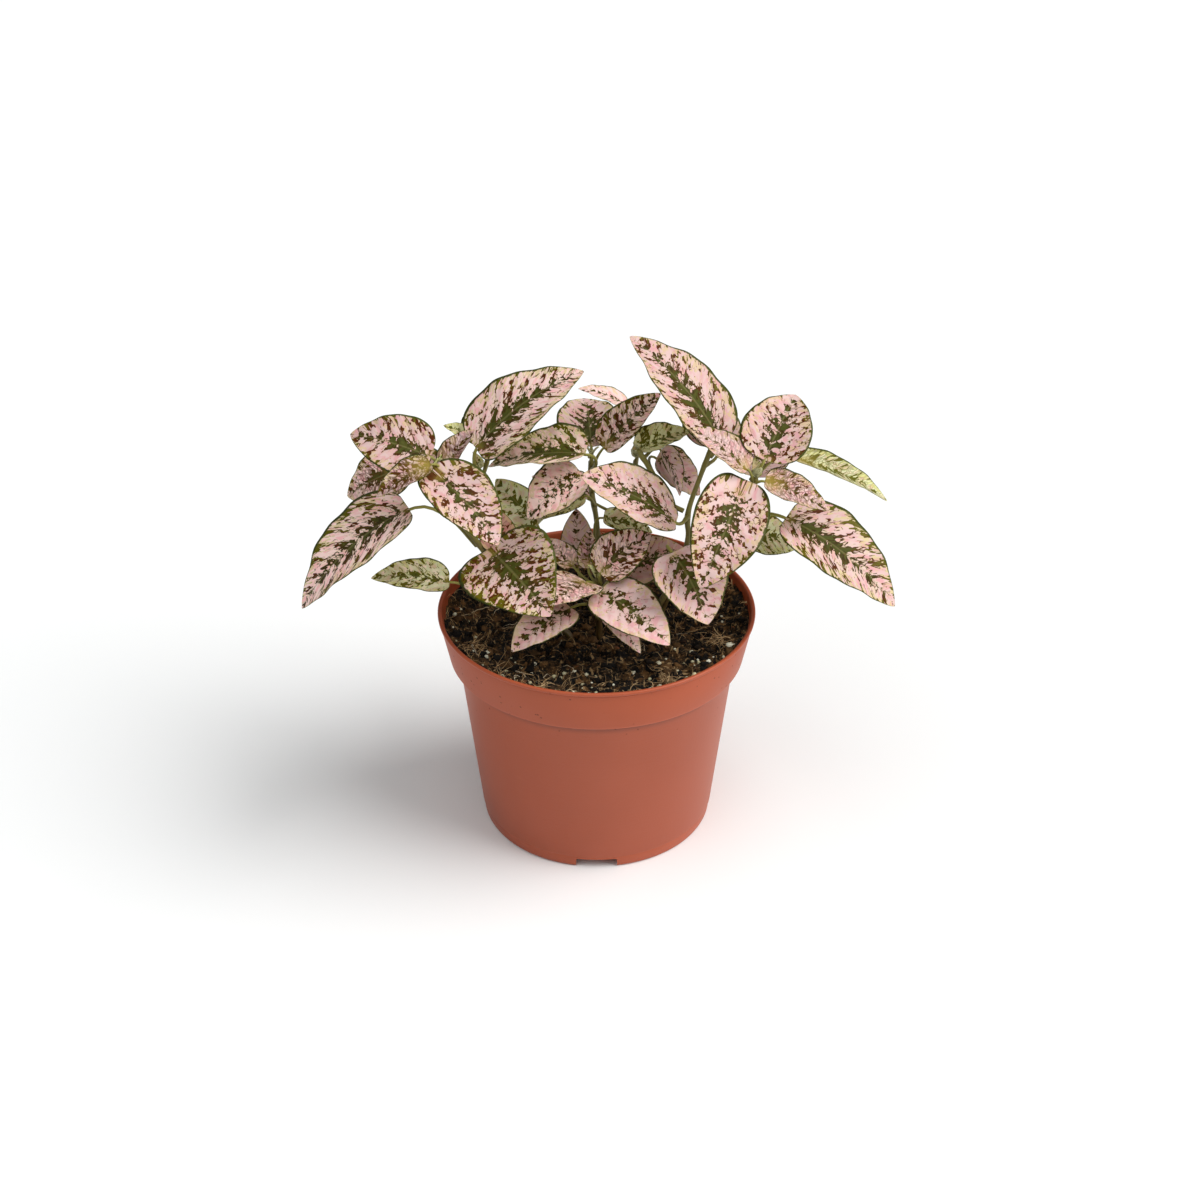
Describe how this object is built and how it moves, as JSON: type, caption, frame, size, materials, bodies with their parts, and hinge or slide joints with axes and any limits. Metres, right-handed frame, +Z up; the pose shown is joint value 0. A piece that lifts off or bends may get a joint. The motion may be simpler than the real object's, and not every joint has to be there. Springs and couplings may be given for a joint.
{
  "type": "potted polka dot plant",
  "caption": "Low bushy house plant with pink leaves flecked dark green, on branching green stems, growing in soil in a round tapered terracotta-coloured nursery pot.",
  "frame": {"origin": "on the pot's axis, on the plane that the pot's foot stands on", "axes": "+Z up along the pot's axis, -Y towards the front, +X to the right seen from the front"},
  "size_m": [0.2161, 0.12, 0.1874],
  "materials": {
    "pot_plastic": "matt moulded terracotta colour",
    "potting_mix": "damp fibrous peat with white grains",
    "stem_tissue": "soft green to reddish stems",
    "leaf_tissue": "soft satin leaf, pink with green flecks"
  },
  "bodies": {
    "root": {"leaf_back_1": "leaf_tissue", "leaf_back_2": "leaf_tissue", "leaf_back_3": "leaf_tissue", "leaf_crown_1": "leaf_tissue", "leaf_crown_2": "leaf_tissue", "leaf_crown_3": "leaf_tissue", "leaf_crown_4": "leaf_tissue", "leaf_crown_5": "leaf_tissue", "leaf_crown_6": "leaf_tissue", "leaf_front_1": "leaf_tissue", "leaf_front_2": "leaf_tissue", "leaf_front_3": "leaf_tissue", "leaf_front_4": "leaf_tissue", "leaf_front_5": "leaf_tissue", "leaf_front_6": "leaf_tissue", "leaf_front_7": "leaf_tissue", "leaf_front_8": "leaf_tissue", "leaf_front_9": "leaf_tissue", "leaf_left_1": "leaf_tissue", "leaf_left_2": "leaf_tissue", "leaf_left_3": "leaf_tissue", "leaf_left_4": "leaf_tissue", "leaf_left_5": "leaf_tissue", "leaf_left_6": "leaf_tissue", "leaf_left_7": "leaf_tissue", "leaf_left_back_1": "leaf_tissue", "leaf_left_back_2": "leaf_tissue", "leaf_left_back_3": "leaf_tissue", "leaf_left_back_4": "leaf_tissue", "leaf_low_left_1": "leaf_tissue", "leaf_low_left_2": "leaf_tissue", "leaf_low_left_3": "leaf_tissue", "leaf_low_left_4": "leaf_tissue", "leaf_middle_1": "leaf_tissue", "leaf_middle_2": "leaf_tissue", "leaf_middle_3": "leaf_tissue", "leaf_right_1": "leaf_tissue", "leaf_right_2": "leaf_tissue", "leaf_right_3": "leaf_tissue", "leaf_right_4": "leaf_tissue", "leaf_right_5": "leaf_tissue", "leaf_right_6": "leaf_tissue", "leaf_right_7": "leaf_tissue", "leaf_right_8": "leaf_tissue", "leaf_right_9": "leaf_tissue", "leaf_right_inner_1": "leaf_tissue", "leaf_right_inner_2": "leaf_tissue", "leaf_right_inner_3": "leaf_tissue", "leaf_right_inner_4": "leaf_tissue", "pot": "pot_plastic", "soil": "potting_mix", "stem_back": "stem_tissue", "stem_crown": "stem_tissue", "stem_front": "stem_tissue", "stem_left": "stem_tissue", "stem_left_back": "stem_tissue", "stem_low_left": "stem_tissue", "stem_middle": "stem_tissue", "stem_right": "stem_tissue", "stem_right_inner": "stem_tissue"}
  },
  "joints": []
}
